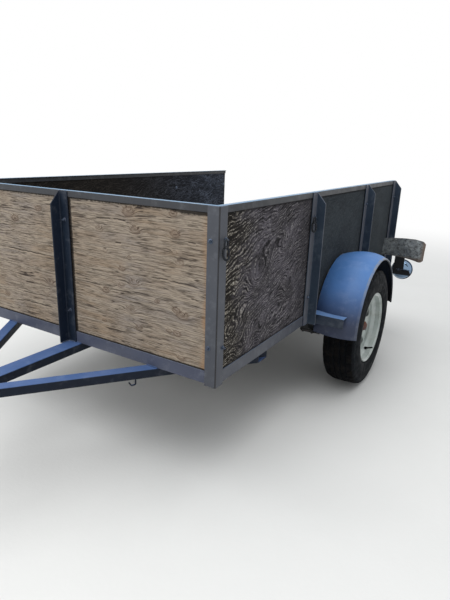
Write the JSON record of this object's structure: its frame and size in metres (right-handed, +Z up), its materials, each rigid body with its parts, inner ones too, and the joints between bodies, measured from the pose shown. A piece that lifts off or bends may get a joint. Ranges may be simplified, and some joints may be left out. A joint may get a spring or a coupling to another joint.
{
  "type": "utility trailer",
  "caption": "Single-axle utility trailer with angle-iron frame, plywood sides, open rear, half-round fenders, A-frame tongue, ball coupler and swivel jack.",
  "frame": {"origin": "centre of the bounding box in plan, on the ground under the tyres and the jack's foot", "axes": "-Y is forward towards the coupler, +X is the trailer's left side, +Z is up"},
  "size_m": [2.0724, 3.6566, 1.1324],
  "materials": {
    "frame_paint": "satin blue-grey paint",
    "fender_paint": "satin blue-grey paint",
    "plywood": "bare weathered plywood",
    "zinc_steel": "dull zinc plate",
    "black_steel": "worn black paint",
    "spring_steel": "rusty spring steel",
    "chrome": "polished",
    "red_lens": "moulded red",
    "plate_aluminium": "blank, dull",
    "tyre": "dusty rubber",
    "wheel_paint": "white wheel enamel",
    "rusty_iron": "rust"
  },
  "bodies": {
    "trailer": {"side_rail_l": "frame_paint", "side_rail_r": "frame_paint", "front_rail": "frame_paint", "rear_rail": "frame_paint", "top_rail_l": "frame_paint", "top_rail_r": "frame_paint", "top_rail_front": "frame_paint", "corner_post_l": "frame_paint", "corner_post_r": "frame_paint", "side_posts_l": "frame_paint", "side_posts_r": "frame_paint", "front_post": "frame_paint", "cross_members": "frame_paint", "tongue_tube": "frame_paint", "brace_l": "frame_paint", "brace_r": "frame_paint", "fender_l": "fender_paint", "fender_r": "fender_paint", "fender_brackets_l": "fender_paint", "fender_brackets_r": "fender_paint", "panel_front": "plywood", "panel_l": "plywood", "panel_r": "plywood", "floor": "plywood", "coupler": "zinc_steel", "jack_bracket": "zinc_steel", "axle": "black_steel", "hangers_l": "black_steel", "hangers_r": "black_steel", "shackle_l": "black_steel", "shackle_r": "black_steel", "spring_plate_l": "black_steel", "spring_plate_r": "black_steel", "spring_l": "spring_steel", "spring_r": "spring_steel", "lamp_shell_l": "chrome", "lamp_shell_r": "chrome", "lamp_lens_l": "red_lens", "lamp_lens_r": "red_lens", "lamp_bracket_l": "black_steel", "lamp_bracket_r": "black_steel", "number_plate": "plate_aluminium"},
    "jack": {"jack_tube": "zinc_steel"},
    "jack_leg": {"jack_ram": "zinc_steel"},
    "wheel_l": {"tyre_l": "tyre", "rim_l": "wheel_paint", "hub_l": "rusty_iron"},
    "wheel_r": {"tyre_r": "tyre", "rim_r": "wheel_paint", "hub_r": "rusty_iron"}
  },
  "joints": [
    {"name": "wheel_l_spin", "type": "hinge", "parent": "trailer", "child": "wheel_l", "pos_m": [0.8638, 0.73535, 0.344], "axis": [1, 0, 0], "continuous": true},
    {"name": "wheel_r_spin", "type": "hinge", "parent": "trailer", "child": "wheel_r", "pos_m": [-0.9322, 0.73535, 0.344], "axis": [1, 0, 0], "continuous": true},
    {"name": "jack_swivel", "type": "hinge", "parent": "trailer", "child": "jack", "pos_m": [0.0358, -1.49465, 0.43895], "axis": [-1, 0, 0], "range_deg": [0, 90]},
    {"name": "jack_lift", "type": "slide", "parent": "jack", "child": "jack_leg", "axis": [0, 0, -1], "range_m": [-0.2, 0.054]}
  ]
}
